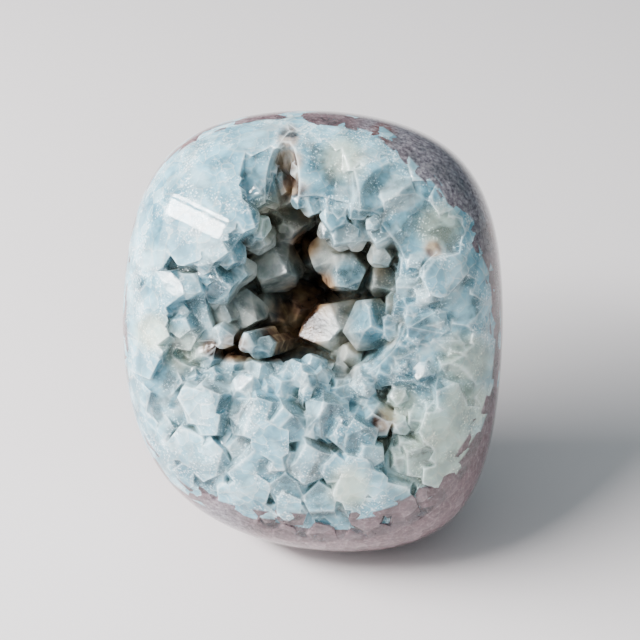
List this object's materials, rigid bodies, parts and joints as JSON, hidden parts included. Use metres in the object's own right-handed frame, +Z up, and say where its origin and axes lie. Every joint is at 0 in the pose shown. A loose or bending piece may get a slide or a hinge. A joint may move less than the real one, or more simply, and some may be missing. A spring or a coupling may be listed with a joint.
{
  "type": "pink amethyst geode",
  "caption": "Rounded, polished amethyst geode that leans back on a small flat spot, its ground face opening on a hollow lined with pale quartz crystals.",
  "frame": {"origin": "middle of the flat spot that the stone rests on", "axes": "+Z up out of the flat spot, -Y towards the side that the crystal face looks to, +X across that face to the right"},
  "size_m": [0.0651, 0.0621, 0.0726],
  "materials": {
    "polished_amethyst": "polished",
    "quartz_crystal": "gloss"
  },
  "bodies": {
    "root": {"amethyst_stone": "polished_amethyst", "crystal_crust": "quartz_crystal"}
  },
  "joints": []
}
